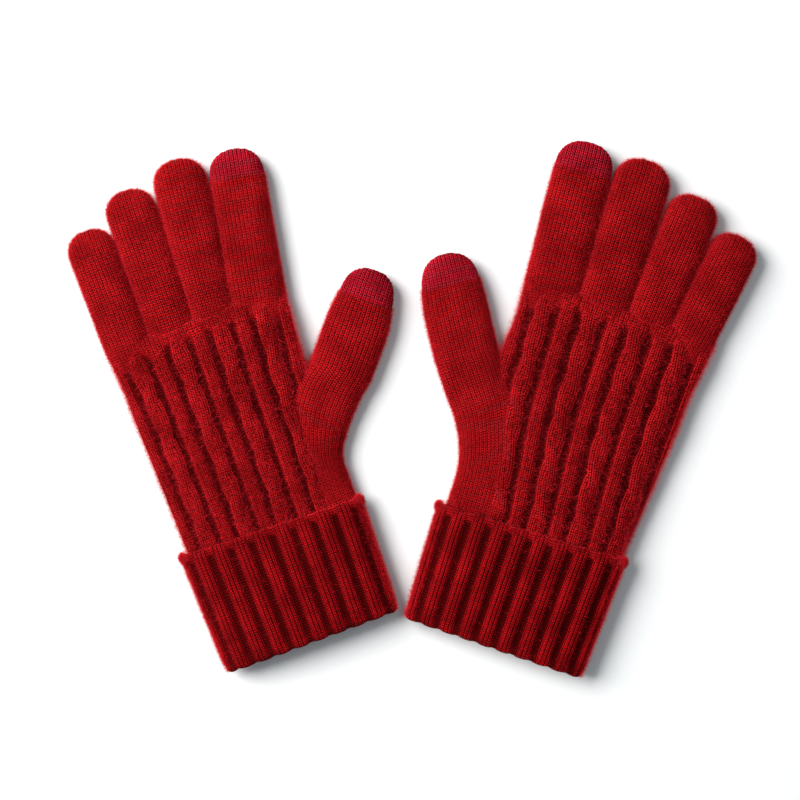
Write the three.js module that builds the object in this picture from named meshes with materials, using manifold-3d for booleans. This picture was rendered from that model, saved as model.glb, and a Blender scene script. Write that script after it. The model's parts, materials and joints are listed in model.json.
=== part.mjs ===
// A pair of knitted gloves lying palms down beside each other, with their ribbed cuffs turned up.
// Millimetres. +X runs across the pair, +Y towards the fingertips and +Z up out of the table.
// The origin is on the table, under the middle of the pair.
//
// A glove has its own frame: the origin is the middle of the folded edge of its cuff, +Y runs up
// the hand, and the thumb is on the side named thumbSide: 1 for +X, -1 for -X.
import * as THREE from "three";
import { mergeVertices } from "three/addons/utils/BufferGeometryUtils.js";
import Module from "manifold-3d";

const wasm = await Module();
wasm.setup();

// Cloth and clearances.
const KNIT = 2; // one layer of knitting
const GAP = 0.3; // between neighbouring pieces

// Thicknesses of the parts of a glove as it lies.
const HAND_THICK = 12;
const DIGIT_THICK = 11;
const CUFF_THICK = 14.5;
const INNER_CUFF_THICK = 9.5;
const INNER_CUFF_BASE = KNIT + 0.5; // height of the inner cuff's underside

// The cuff: how far it is turned up, and the hem that closes its fold.
const TURN_UP = 60;
const FOLD_HEM = 3;
const CUFF_EASE = 0.4; // side clearance of the turned-up layer on the inner one

// Fingertips in touch-screen yarn, on each index finger and thumb.
const TOUCH_TIP = 16;

// Rounded rims: how far in from the outline a rim reaches.
const DIGIT_RIM = 6.5;
const HAND_RIM = 8;
const CUFF_RIM = 5;
const RIM_STEPS = 2;
const TIP_STEPS = 8;

// The thumb's swing, as angles between the thumb and the hand.
const THUMB_IN = 16;
const THUMB_OUT = 60;
const THUMB_STUB = 45; // how far the root of the thumb reaches back into the palm

// Room cut round things, always more than the piece it is cut from.
const BEYOND = 200;

const DARK_RED = 0x9c0a16;
const RIB_RED = 0x8a0812;
const CRIMSON = 0x9a0c2c;

// Each digit: x of its root (positive towards the thumb), width at the root and further up,
// length from its hinge, and lean towards the thumb in degrees.
const LEFT = {
  name: "left",
  thumbSide: 1,
  place: [-50.35, -116.04],
  turn: 20.3,
  cuffHalf: [45.2, 47.2],
  knuckles: 181,
  outerEdge: [43.2, 44.5, 47.8],
  thumbEdge: [44.6, 44.6, 49.4],
  fingers: {
    index_finger: { x: 35.5, root: 27.4, width: 26.6, length: 66.7, lean: 10.8, touch: true },
    middle_finger: { x: 10.6, root: 20.9, width: 25.6, length: 70.9, lean: 6.6 },
    ring_finger: { x: -12.2, root: 23.2, width: 24.2, length: 64.5, lean: 1.4 },
    little_finger: { x: -35.9, root: 22.6, width: 22.8, length: 52.5, lean: -0.4 },
  },
  thumb: { x: 59.6, y: 122.9, root: 30.5, width: 26.8, length: 53.5, lean: 40 },
};
const RIGHT = {
  name: "right",
  thumbSide: -1,
  place: [39.3, -119.03],
  turn: -19,
  cuffHalf: [46.5, 49],
  knuckles: 190,
  outerEdge: [46.6, 50.2, 57.2],
  thumbEdge: [44.8, 42.6, 45.2],
  fingers: {
    index_finger: { x: 31, root: 27.4, width: 28.2, length: 66.5, lean: 4.2, touch: true },
    middle_finger: { x: 3.6, root: 25.6, width: 27.4, length: 67, lean: 1.4 },
    ring_finger: { x: -21.3, root: 22.4, width: 24.8, length: 58.2, lean: -3.8 },
    little_finger: { x: -45, root: 23.4, width: 23.6, length: 46.5, lean: -7.7 },
  },
  thumb: { x: 59.6, y: 135.1, root: 31, width: 28.4, length: 51.5, lean: 32 },
};

// ---- solids ----

function solid(geometry) {
  const bare = geometry.index ? geometry.toNonIndexed() : geometry;
  bare.deleteAttribute("normal");
  bare.deleteAttribute("uv");
  const merged = mergeVertices(bare, 1e-3);
  const vertProperties = new Float32Array(merged.attributes.position.array);
  const triVerts = new Uint32Array(merged.index.array);
  return new wasm.Manifold(new wasm.Mesh({ numProp: 3, vertProperties, triVerts }));
}

function geometryOf(body) {
  const mesh = body.getMesh();
  const geometry = new THREE.BufferGeometry();
  geometry.setAttribute("position", new THREE.BufferAttribute(mesh.vertProperties, 3));
  geometry.setIndex(new THREE.BufferAttribute(mesh.triVerts, 1));
  geometry.computeVertexNormals();
  return geometry;
}

function knitMaterial(colour, roughness) {
  return new THREE.MeshStandardMaterial({ color: colour, roughness, metalness: 0 });
}

// An outline given a thickness and a rounded rim. Its underside lies at z = base.
function pillow(outline, thickness, rim, base) {
  const rise = 0.46 * thickness;
  const geometry = new THREE.ExtrudeGeometry(outline, {
    depth: thickness - 2 * rise,
    bevelThickness: rise,
    bevelSize: rim,
    bevelOffset: -rim,
    bevelSegments: RIM_STEPS,
    curveSegments: TIP_STEPS,
  });
  return geometry.translate(0, 0, base + rise);
}

// A block between two corners.
function block(low, high) {
  const size = low.map((value, axis) => high[axis] - value);
  const middle = low.map((value, axis) => (high[axis] + value) / 2);
  return new THREE.BoxGeometry(...size).translate(...middle);
}

// Everything on the +Y side of a line, and everything on its -Y side.
const above = (y) => solid(block([-BEYOND, y, -BEYOND], [BEYOND, y + 2 * BEYOND, BEYOND]));
const below = (y) => solid(block([-BEYOND, y - 2 * BEYOND, -BEYOND], [BEYOND, y, BEYOND]));

// ---- fingers and thumbs ----

// Straight sides from behind the hinge, swelling to full width, and a round tip.
function digitOutline(root, width, length, behind) {
  const radius = width / 2;
  const swell = 0.4 * length;
  const outline = new THREE.Shape();
  outline.moveTo(-root / 2, -behind);
  outline.lineTo(-root / 2, 0);
  outline.lineTo(-radius, swell);
  outline.absarc(0, length - radius, radius, Math.PI, 0, true);
  outline.lineTo(radius, swell);
  outline.lineTo(root / 2, 0);
  outline.lineTo(root / 2, -behind);
  outline.closePath();
  return outline;
}

// A closed-tipped tube in its hinge's frame: the hinge is at the origin, half way up the tube.
function digitTube(digit, side) {
  const { root, width, length, lean } = digit;
  const outerOutline = digitOutline(root, width, length, root);
  const innerOutline = digitOutline(root - 2 * KNIT, width - 2 * KNIT, length - KNIT, 1.2 * root);
  const low = -DIGIT_THICK / 2;
  const turn = THREE.MathUtils.degToRad(-side * lean);
  const outer = pillow(outerOutline, DIGIT_THICK, DIGIT_RIM, low);
  const hollow = pillow(innerOutline, DIGIT_THICK - 2 * KNIT, DIGIT_RIM - KNIT, low + KNIT);
  return solid(outer.rotateZ(turn)).subtract(solid(hollow.rotateZ(turn)));
}

// The root of a finger is rounded about its hinge line, so that it can fold up.
function foldingRoot() {
  const knuckle = new THREE.CylinderGeometry(DIGIT_THICK / 2, DIGIT_THICK / 2, BEYOND, 16);
  return above(0).add(solid(knuckle.rotateZ(Math.PI / 2)));
}

// The root of a thumb is rounded about an upright line, so that it can swing.
function swingingRoot(thumb, side) {
  const turn = THREE.MathUtils.degToRad(-side * thumb.lean);
  const ahead = block([-BEYOND, 0, -BEYOND], [BEYOND, BEYOND, BEYOND]).rotateZ(turn);
  const socket = new THREE.CylinderGeometry(thumb.root / 2, thumb.root / 2, BEYOND, 32);
  return solid(ahead).add(solid(socket.rotateX(Math.PI / 2)));
}

// A line across a digit, at a distance up it, as the block of everything beyond that line.
function beyondLine(digit, side, distance) {
  const turn = THREE.MathUtils.degToRad(-side * digit.lean);
  return solid(
    block([-BEYOND, distance, -BEYOND], [BEYOND, distance + BEYOND, BEYOND]).rotateZ(turn),
  );
}

function digitMeshes(glove, name, digit, rootShape) {
  const side = glove.thumbSide;
  const meshes = [];
  let tube = digitTube(digit, side).intersect(rootShape);
  if (digit.touch) {
    const tipName = name.replace("_finger", "") + "_touch_tip";
    const seam = digit.length - TOUCH_TIP;
    const tip = tube.intersect(beyondLine(digit, side, seam + GAP));
    tube = tube.subtract(beyondLine(digit, side, seam));
    meshes.push(named(glove, tipName, tip, knitMaterial(CRIMSON, 0.8)));
  }
  meshes.push(named(glove, name, tube, knitMaterial(DARK_RED, 0.95)));
  return meshes;
}

function named(glove, name, body, material) {
  const mesh = new THREE.Mesh(geometryOf(body), material);
  mesh.name = `${glove.name}_${name}`;
  return mesh;
}

// ---- hand ----

// The palm between wrist and knuckles, drawn long at both ends and drawn in by inset at its sides.
function palmOutline(glove, inset) {
  const side = glove.thumbSide;
  const [outerWrist, outerMiddle, outerKnuckle] = glove.outerEdge.map((x) => -side * (x - inset));
  const [thumbWrist, thumbMiddle, thumbKnuckle] = glove.thumbEdge.map((x) => side * (x - inset));
  const middle = (TURN_UP + glove.knuckles) / 2;
  const outline = new THREE.Shape();
  outline.moveTo(outerWrist, TURN_UP - HAND_RIM * 2);
  outline.lineTo(outerWrist, TURN_UP);
  outline.lineTo(outerMiddle, middle);
  outline.lineTo(outerKnuckle, glove.knuckles);
  outline.lineTo(outerKnuckle, glove.knuckles + HAND_RIM * 2);
  outline.lineTo(thumbKnuckle, glove.knuckles + HAND_RIM * 2);
  outline.lineTo(thumbKnuckle, glove.knuckles);
  outline.lineTo(thumbMiddle, middle);
  outline.lineTo(thumbWrist, TURN_UP);
  outline.lineTo(thumbWrist, TURN_UP - HAND_RIM * 2);
  outline.closePath();
  return outline;
}

// The root of the thumb as a strip along the thumb, from inside the palm to near its pivot.
function thumbStub(glove, inset) {
  const { x, y, root, lean } = glove.thumb;
  const half = root / 2 - inset;
  const end = inset > 0 ? root : -root / 4;
  const outline = new THREE.Shape();
  outline.moveTo(-half, -THUMB_STUB + inset);
  outline.lineTo(-half, end);
  outline.lineTo(half, end);
  outline.lineTo(half, -THUMB_STUB + inset);
  outline.closePath();
  const strip = pillow(outline, DIGIT_THICK - 2 * inset, DIGIT_RIM - inset, inset);
  strip.rotateZ(THREE.MathUtils.degToRad(-glove.thumbSide * lean));
  return solid(strip.translate(glove.thumbSide * x, y, 0));
}

// The room that the thumb sweeps as it swings between its two limits.
function thumbSweep(glove) {
  const { x, y, root } = glove.thumb;
  const reach = root / 2 + GAP;
  const socket = new THREE.CylinderGeometry(reach, reach, BEYOND, 32).rotateX(Math.PI / 2);
  let sweep = solid(socket.translate(glove.thumbSide * x, y, 0));
  for (const lean of [THUMB_IN, (THUMB_IN + THUMB_OUT) / 2, THUMB_OUT]) {
    const strip = block([-reach, 0, -BEYOND], [reach, glove.thumb.length, BEYOND]);
    strip.rotateZ(THREE.MathUtils.degToRad(-glove.thumbSide * lean));
    sweep = sweep.add(solid(strip.translate(glove.thumbSide * x, y, 0)));
  }
  return sweep;
}

function handBody(glove) {
  const outer = solid(pillow(palmOutline(glove, 0), HAND_THICK, HAND_RIM, 0));
  const hollowThick = HAND_THICK - 2 * KNIT;
  const hollow = solid(pillow(palmOutline(glove, KNIT), hollowThick, HAND_RIM - KNIT, KNIT));
  const knuckleEnd = glove.knuckles - DIGIT_THICK / 2 - GAP;
  return outer
    .add(thumbStub(glove, 0))
    .subtract(hollow.add(thumbStub(glove, KNIT)))
    .subtract(thumbSweep(glove))
    .intersect(above(TURN_UP + GAP))
    .intersect(below(knuckleEnd));
}

// ---- cuff ----

// Four straight sides, wider at the top of the turn-up than at its fold, from low to high.
function cuffOutline(glove, inset, low, high) {
  const [foldHalf, topHalf] = glove.cuffHalf;
  const halfAt = (y) => foldHalf + ((topHalf - foldHalf) * y) / TURN_UP - inset;
  const outline = new THREE.Shape();
  outline.moveTo(-halfAt(low), low);
  outline.lineTo(-halfAt(high), high);
  outline.lineTo(halfAt(high), high);
  outline.lineTo(halfAt(low), low);
  outline.closePath();
  return outline;
}

// The wrist's own layers, inside the turned-up ones.
function innerCuffBody(glove) {
  const inset = KNIT + CUFF_EASE;
  const rim = CUFF_RIM - KNIT;
  const long = TURN_UP + 4 * CUFF_RIM;
  const outline = cuffOutline(glove, inset, -CUFF_RIM * 4, long);
  const hollow = cuffOutline(glove, inset + KNIT, -CUFF_RIM * 4, long);
  const hollowThick = INNER_CUFF_THICK - 2 * KNIT;
  return solid(pillow(outline, INNER_CUFF_THICK, rim + 1, INNER_CUFF_BASE))
    .subtract(solid(pillow(hollow, hollowThick, rim - 1, INNER_CUFF_BASE + KNIT)))
    .intersect(above(FOLD_HEM + GAP))
    .intersect(below(TURN_UP));
}

// The layers turned up over the wrist: a sleeve with a hem at its fold, open at both ends.
function turnedUpCuffBody(glove) {
  const long = TURN_UP + 4 * CUFF_RIM;
  const outer = pillow(cuffOutline(glove, 0, 0, long), CUFF_THICK, CUFF_RIM, 0);
  const passageThick = INNER_CUFF_THICK + 2 * GAP;
  const passage = pillow(
    cuffOutline(glove, KNIT, -CUFF_RIM * 4, long), passageThick, CUFF_RIM - KNIT + 0.6,
    INNER_CUFF_BASE - GAP,
  );
  const mouth = pillow(
    cuffOutline(glove, 2 * KNIT + CUFF_EASE, -CUFF_RIM * 4, long),
    INNER_CUFF_THICK - 2 * KNIT, CUFF_RIM - KNIT - 1, INNER_CUFF_BASE + KNIT,
  );
  return solid(outer)
    .subtract(solid(passage).intersect(above(FOLD_HEM)))
    .subtract(solid(mouth))
    .intersect(below(TURN_UP));
}

// ---- gloves ----

function buildGlove(glove) {
  const group = new THREE.Group();
  group.position.set(...glove.place, 0);
  group.rotation.z = THREE.MathUtils.degToRad(glove.turn);

  group.add(named(glove, "hand", handBody(glove), knitMaterial(DARK_RED, 0.95)));
  group.add(named(glove, "inner_cuff", innerCuffBody(glove), knitMaterial(RIB_RED, 0.9)));
  group.add(named(glove, "turned_up_cuff", turnedUpCuffBody(glove), knitMaterial(RIB_RED, 0.9)));

  for (const [name, finger] of Object.entries(glove.fingers)) {
    const hinge = new THREE.Group();
    hinge.position.set(glove.thumbSide * finger.x, glove.knuckles, DIGIT_THICK / 2);
    hinge.add(...digitMeshes(glove, name, finger, foldingRoot()));
    group.add(hinge);
  }

  const thumb = { ...glove.thumb, touch: true };
  const pivot = new THREE.Group();
  pivot.position.set(glove.thumbSide * thumb.x, thumb.y, DIGIT_THICK / 2);
  pivot.add(...digitMeshes(glove, "thumb", thumb, swingingRoot(thumb, glove.thumbSide)));
  group.add(pivot);
  return group;
}

const gloves = new THREE.Group();
gloves.add(buildGlove(LEFT), buildGlove(RIGHT));
gloves.updateMatrixWorld(true);

// The pair is moved so that its middle is over the origin.
const middle = new THREE.Box3().setFromObject(gloves, true).getCenter(new THREE.Vector3());
gloves.position.set(-middle.x, -middle.y, 0);

export default gloves;
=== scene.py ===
"""A pair of dark red knitted gloves lying palms down, with cable-knit backs, ribbed cuffs turned up
and crimson touch-screen fingertips. Metres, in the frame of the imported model."""

import json
import math

import bpy
import numpy as np
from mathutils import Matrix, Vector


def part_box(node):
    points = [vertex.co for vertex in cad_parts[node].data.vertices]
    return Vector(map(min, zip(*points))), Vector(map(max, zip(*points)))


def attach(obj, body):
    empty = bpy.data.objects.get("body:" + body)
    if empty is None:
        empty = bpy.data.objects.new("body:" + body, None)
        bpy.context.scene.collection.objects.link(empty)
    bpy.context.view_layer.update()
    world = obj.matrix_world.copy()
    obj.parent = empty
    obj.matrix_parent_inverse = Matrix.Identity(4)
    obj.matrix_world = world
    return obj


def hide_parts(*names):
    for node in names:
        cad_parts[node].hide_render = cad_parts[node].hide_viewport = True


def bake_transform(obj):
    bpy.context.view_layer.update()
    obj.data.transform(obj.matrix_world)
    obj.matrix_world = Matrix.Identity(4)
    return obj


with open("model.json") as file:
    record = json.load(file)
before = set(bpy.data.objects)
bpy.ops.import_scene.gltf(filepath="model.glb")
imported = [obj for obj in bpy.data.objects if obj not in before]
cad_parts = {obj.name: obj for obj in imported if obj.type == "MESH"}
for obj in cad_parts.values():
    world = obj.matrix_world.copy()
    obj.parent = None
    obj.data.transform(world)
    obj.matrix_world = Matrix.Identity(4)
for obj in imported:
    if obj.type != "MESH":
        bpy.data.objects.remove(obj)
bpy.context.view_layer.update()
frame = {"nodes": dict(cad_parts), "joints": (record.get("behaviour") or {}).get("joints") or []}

MM = 0.001
PI = math.pi

# ---- the yarn and the stitches ----

WALE = 2.05 * MM  # one column of plain knitting
COURSE = 1.35 * MM  # one row
RIB_WALE = 2.13 * MM  # a column of the cuff's ribbing
RIB_KNIT = 3  # plain columns in a rib
RIB_REPEAT = 5  # columns from one rib to the next
RIB_PHASE = 0.5 - RIB_KNIT / 2 / RIB_REPEAT  # puts a rib's middle half way along its columns
RIB_REACH = 1.85  # columns from a rib's middle to its foot
CABLE_TWIST = 22 * MM  # height of one crossing of a cable
CABLE_HALF = 0.215  # of the way from one rib of the panel to the next
PANEL_RIB_HALF = 0.15  # half of a rib's width, on the same scale
PLAIN_OPENED = 0.25  # how far columns stand apart, 0 to 1, in plain knitting,
CABLE_OPENED = 0.1  # on the cables,
RIB_OPENED = 0.9  # and on the cuffs' ribs
CABLE_SWING = 0.23  # how far a cable's strands cross over, and how far one dips under the other
CABLE_DIP = 0.17
PANEL_RIBS = 4  # ribs across the back of a hand, less one

STITCH_DEPTH = 0.75 * MM
TOUCH_STITCH_DEPTH = 0.95 * MM
CABLE_HEIGHT = 2.2 * MM
RIB_HEIGHT = 2.0 * MM
INNER_RIB_HEIGHT = 0.9 * MM
UNEVENNESS = 0.35 * MM
HAND_UNEVENNESS = 0.45 * MM
INNER_UNEVENNESS = 0.1 * MM

# ---- mesh fineness ----

COLUMNS_PER_WALE = 5
UNDER_COLUMNS_PER_WALE = 2
ROWS_PER_COURSE = 3
HAND_ROWS_PER_COURSE = 2.7
TOP_SHARE = 0.28  # how far each way round from the middle of the top the knitting is fine
DENSE = 400  # steps used to measure round a section

JOINTS = {joint["name"]: joint for joint in frame["joints"]}
FINGERS = ("index_finger", "middle_finger", "ring_finger", "little_finger")


# ---------------------------------------------------------------- places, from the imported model


def cad_points(*nodes):
    """All the corners of some CAD nodes, in the row frame."""
    clouds = []
    for node in nodes:
        mesh = frame["nodes"][node].data
        points = np.zeros(len(mesh.vertices) * 3)
        mesh.vertices.foreach_get("co", points)
        clouds.append(points.reshape(-1, 3))
    return np.vstack(clouds)


class Glove:
    """One glove's own frame: u runs across it towards the thumb, v from the fold of its cuff to
    its fingertips, and z up."""

    def __init__(self, name):
        self.name = name
        self.across = np.array(JOINTS[name + "_middle_finger_fold"]["axis"][:2])
        self.up = np.array([-self.across[1], self.across[0]])
        cuff = cad_points(name + "_turned_up_cuff")[:, :2]
        sideways = cuff @ self.across
        self.middle = (sideways.min() + sideways.max()) / 2
        self.fold = (cuff @ self.up).min()
        thumb = np.array(JOINTS[name + "_thumb_swing"]["pos_m"][:2])
        self.side = 1 if thumb @ self.across > self.middle else -1

    def local(self, points):
        u = self.side * (points[:, :2] @ self.across - self.middle)
        v = points[:, :2] @ self.up - self.fold
        return np.column_stack([u, v, points[:, 2]])

    def world(self, u, v, z):
        x = self.side * np.asarray(u) + self.middle
        y = np.asarray(v) + self.fold
        flat = x[..., None] * self.across + y[..., None] * self.up
        return np.concatenate([flat, np.asarray(z)[..., None]], axis=-1)

    def point(self, u, v, z):
        return tuple(self.world(np.array(u), np.array(v), np.array(z)))

    def node(self, part):
        return self.name + "_" + part

    def body(self, part):
        return self.name + "_" + part + "_body"

    def edge(self, part, v, half_band=4 * MM):
        """The least and greatest u of a CAD node near a height v."""
        points = self.local(cad_edge_points(self.node(part)))
        near = points[np.abs(points[:, 1] - v) < half_band]
        return near[:, 0].min(), near[:, 0].max()


EDGE_POINTS = {}


def cad_edge_points(node):
    """Points along every edge of a CAD node, close enough together to measure its outline."""
    if node not in EDGE_POINTS:
        mesh = frame["nodes"][node].data
        corners = cad_points(node)
        ends = np.array([edge.vertices[:] for edge in mesh.edges])
        shares = np.linspace(0, 1, 41)[:, None, None]
        line = corners[ends[:, 0]] * (1 - shares) + corners[ends[:, 1]] * shares
        EDGE_POINTS[node] = line.reshape(-1, 3)
    return EDGE_POINTS[node]


class Digit:
    """A finger or thumb as the CAD has it: hinge, direction, length and widths."""

    def __init__(self, glove, part):
        self.part = part
        self.tip = part.replace("_finger", "") + "_touch_tip"
        self.has_tip = glove.node(self.tip) in frame["nodes"]
        joint = [j for j in JOINTS.values() if j["child"] == glove.body(part)][0]
        self.hinge = glove.local(np.array([joint["pos_m"]]))[0][:2]
        nodes = [glove.node(part)] + ([glove.node(self.tip)] if self.has_tip else [])
        corners = glove.local(cad_points(*nodes))
        self.top = corners[:, 2].max()
        flat = corners[:, :2] - self.hinge
        forward = flat[np.argmax(flat[:, 1])]
        for _ in range(4):
            forward = forward / np.linalg.norm(forward)
            along = flat @ forward
            forward = flat[along > 0.86 * along.max()].mean(0)
        self.forward = forward / np.linalg.norm(forward)
        self.sideways = np.array([self.forward[1], -self.forward[0]])
        along, off = flat @ self.forward, np.abs(flat @ self.sideways)
        self.length = along.max() - (THUMB_TIP_INSET if part == "thumb" else TIP_INSET)
        self.root_half = off[(along > -0.02 * self.length) & (along < 0.1 * self.length)].max()
        self.half = off[(along > 0.3 * self.length) & (along < 0.8 * self.length)].max()
        if self.has_tip:
            tip = glove.local(cad_points(glove.node(self.tip)))[:, :2] - self.hinge
            self.seam = (tip @ self.forward).min()


# ---------------------------------------------------------------- arithmetic in node trees


class Number:
    """A number worked out by a node tree, with ordinary arithmetic. Works in any node tree."""

    def __init__(self, tree, socket):
        self.tree = tree
        self.socket = socket

    def __add__(self, other):
        return calculate("ADD", self, other)

    def __radd__(self, other):
        return calculate("ADD", other, self)

    def __sub__(self, other):
        return calculate("SUBTRACT", self, other)

    def __rsub__(self, other):
        return calculate("SUBTRACT", other, self)

    def __mul__(self, other):
        return calculate("MULTIPLY", self, other)

    def __rmul__(self, other):
        return calculate("MULTIPLY", other, self)

    def __truediv__(self, other):
        return calculate("DIVIDE", self, other)

    def __abs__(self):
        return calculate("ABSOLUTE", self)


def calculate(operation, *values):
    tree = next(value.tree for value in values if isinstance(value, Number))
    node = tree.nodes.new("ShaderNodeMath")
    node.operation = operation
    for socket, value in zip(node.inputs, values):
        plug(tree, value, socket)
    return Number(tree, node.outputs[0])


def plug(tree, value, socket):
    if isinstance(value, Number):
        tree.links.new(value.socket, socket)
    else:
        socket.default_value = value


def sine(x):
    return calculate("SINE", x)


def cosine(x):
    return calculate("COSINE", x)


def fraction(x):
    return calculate("FRACT", x)


def greatest(a, b):
    return calculate("MAXIMUM", a, b)


def raised(x, power):
    return calculate("POWER", greatest(x, 0.0), power)


def is_more(a, b):
    return calculate("GREATER_THAN", a, b)


def mixed(a, b, share):
    return a + (b - a) * share


def ease(x, low, high):
    """0 at low, 1 at high, and smooth between."""
    node = x.tree.nodes.new("ShaderNodeMapRange")
    node.interpolation_type = "SMOOTHSTEP"
    x.tree.links.new(x.socket, node.inputs["Value"])
    node.inputs["From Min"].default_value = low
    node.inputs["From Max"].default_value = high
    return Number(x.tree, node.outputs["Result"])


# ---------------------------------------------------------------- stitches


def plain_stitches(wale, course, opened):
    """Height of plain knitting, 0 to 1: each column is a row of V's, one leg each side. Opened,
    up to 1, is how far the columns stand apart."""
    side = abs(fraction(wale) - 0.5) * 2.0
    leg = raised(sine((0.07 + 0.13 * opened + (0.88 - 0.08 * opened) * side) * PI), 1.1)
    turn = fraction(course - side * 0.75)
    strand = turn * (1.0 - turn) * 4.0
    return leg * (0.05 + 0.95 * strand)


def purl_stitches(wale, course):
    """Height of the knitting's wrong side, 0 to 1: rows of small arches."""
    arch = course + cosine(wale * (2 * PI)) * 0.16
    return raised(abs(sine(arch * PI)), 0.9) * 0.9


def plain_pattern(wale, course, panel, inside):
    return None, plain_stitches(wale, course, PLAIN_OPENED)


def rib_pattern(wale, course, panel, inside):
    """Ribs of plain columns between sunk purl columns, and an even band where inside is 0."""
    middle = abs(fraction(wale / RIB_REPEAT + RIB_PHASE) - 0.5) * RIB_REPEAT
    share = middle / RIB_REACH
    rib = raised(1.0 - share * share, 0.6)
    knitted = 1.0 - ease(middle, RIB_KNIT / 2 - 0.1, RIB_KNIT / 2 + 0.2)
    stitches = mixed(purl_stitches(wale, course), plain_stitches(wale, course, RIB_OPENED), knitted)
    return mixed(0.86, rib, inside), stitches


def panel_pattern(wale, course, panel, inside):
    """Rope cables between narrow ribs, where inside is 1, and plain knitting where it is 0."""
    across = (fraction(panel) - 0.5) / CABLE_HALF  # -1 to 1 over a cable
    angle = course * (PI * COURSE / CABLE_TWIST)
    swing = cosine(angle) * CABLE_SWING
    depth = sine(angle) * CABLE_DIP
    first = strand_height(across - swing) * (0.85 + depth)
    second = strand_height(across + swing) * (0.85 - depth)
    cable = greatest(first, second)
    from_strand = mixed(across + swing, across - swing, is_more(first, second))
    beside = (fraction(panel + 0.5) - 0.5) / PANEL_RIB_HALF  # -1 to 1 over a rib
    rib = (1.0 - ease(abs(beside), 0.45, 1.5)) * 0.9
    relief = greatest(greatest(cable, rib), 0.06)
    column = mixed(from_strand * 2.0 + 0.5, beside * 1.5 + 0.5, is_more(rib, cable))
    knitted = ease(relief, 0.1, 0.32)
    columns = plain_stitches(column, course, CABLE_OPENED)
    stitches = mixed(purl_stitches(panel * 10.0, course), columns, knitted)
    plain = plain_stitches(wale, course, PLAIN_OPENED)
    return mixed(0.66, relief, inside), mixed(plain, stitches, inside)


def strand_height(offset):
    """A round strand of a cable, 1 on its middle line and 0 at its sides."""
    share = offset / 0.84
    return raised(1.0 - share * share, 0.7)


PATTERNS = {"plain": plain_pattern, "rib": rib_pattern, "panel": panel_pattern}


# ---------------------------------------------------------------- geometry node trees


def new_tree(name, sizes):
    """A geometry node tree with a geometry in and out and named inputs for its sizes."""
    tree = bpy.data.node_groups.new(name, "GeometryNodeTree")
    tree.interface.new_socket("Geometry", in_out="OUTPUT", socket_type="NodeSocketGeometry")
    tree.interface.new_socket("Geometry", in_out="INPUT", socket_type="NodeSocketGeometry")
    for size, kind in sizes:
        tree.interface.new_socket(size, in_out="INPUT", socket_type=kind)
    start = tree.nodes.new("NodeGroupInput")
    end = tree.nodes.new("NodeGroupOutput")
    return tree, start, end


def finish_tree(tree, start, end, geometry):
    """Ends a tree in Realize Instances and Set Material."""
    realize = tree.nodes.new("GeometryNodeRealizeInstances")
    paint = tree.nodes.new("GeometryNodeSetMaterial")
    tree.links.new(geometry, realize.inputs[0])
    tree.links.new(realize.outputs[0], paint.inputs["Geometry"])
    tree.links.new(start.outputs["Material"], paint.inputs["Material"])
    tree.links.new(paint.outputs[0], end.inputs["Geometry"])


def attribute_number(tree, name):
    node = tree.nodes.new("GeometryNodeInputNamedAttribute")
    node.data_type = "FLOAT"
    node.inputs["Name"].default_value = name
    return Number(tree, node.outputs["Attribute"])


def noise_number(tree, scale, vector=None):
    node = tree.nodes.new("ShaderNodeTexNoise")
    node.inputs["Scale"].default_value = scale
    node.inputs["Detail"].default_value = 2.0
    if vector is not None:
        tree.links.new(vector, node.inputs["Vector"])
    return Number(tree, node.outputs[0])


def relief_tree(pattern):
    """Raises the stitches and the pattern of a piece of knitting out of its smooth shape."""
    sizes = [("Stitch Depth", "NodeSocketFloat"), ("Pattern Height", "NodeSocketFloat"),
             ("Unevenness", "NodeSocketFloat"), ("Material", "NodeSocketMaterial")]
    tree, start, end = new_tree("Knitted relief, " + pattern, sizes)
    wale, course = attribute_number(tree, "wale"), attribute_number(tree, "course")
    panel, inside = attribute_number(tree, "panel_x"), attribute_number(tree, "inside")
    relief, stitches = PATTERNS[pattern](wale, course, panel, inside)
    height = (stitches - 0.5) * Number(tree, start.outputs["Stitch Depth"])
    if relief is not None:
        height = height + (relief - 0.6) * Number(tree, start.outputs["Pattern Height"])
    place = tree.nodes.new("GeometryNodeInputPosition").outputs[0]
    slow = noise_number(tree, 45.0, place) - 0.5
    quick = noise_number(tree, 260.0, place) - 0.5
    uneven = (slow * 1.6 + quick * 0.5) * Number(tree, start.outputs["Unevenness"])
    height = (height + uneven) * attribute_number(tree, "soften")
    outward = tree.nodes.new("GeometryNodeInputNormal").outputs[0]
    lift = tree.nodes.new("ShaderNodeVectorMath")
    lift.operation = "SCALE"
    tree.links.new(outward, lift.inputs[0])
    plug(tree, height, lift.inputs["Scale"])
    move = tree.nodes.new("GeometryNodeSetPosition")
    tree.links.new(start.outputs["Geometry"], move.inputs["Geometry"])
    tree.links.new(lift.outputs[0], move.inputs["Offset"])
    finish_tree(tree, start, end, move.outputs[0])
    return tree


SIDE_FLUFF = 18.0  # how much thicker the fluff stands at the sides, for one on top
TABLE_CLEARANCE = 0.1 * MM
FIBRE_SIZES = (0.5, 0.5, 0.35), (1.0, 1.0, 1.3)  # least and greatest, across and along
FIBRE_LEAN = 1.15


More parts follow.
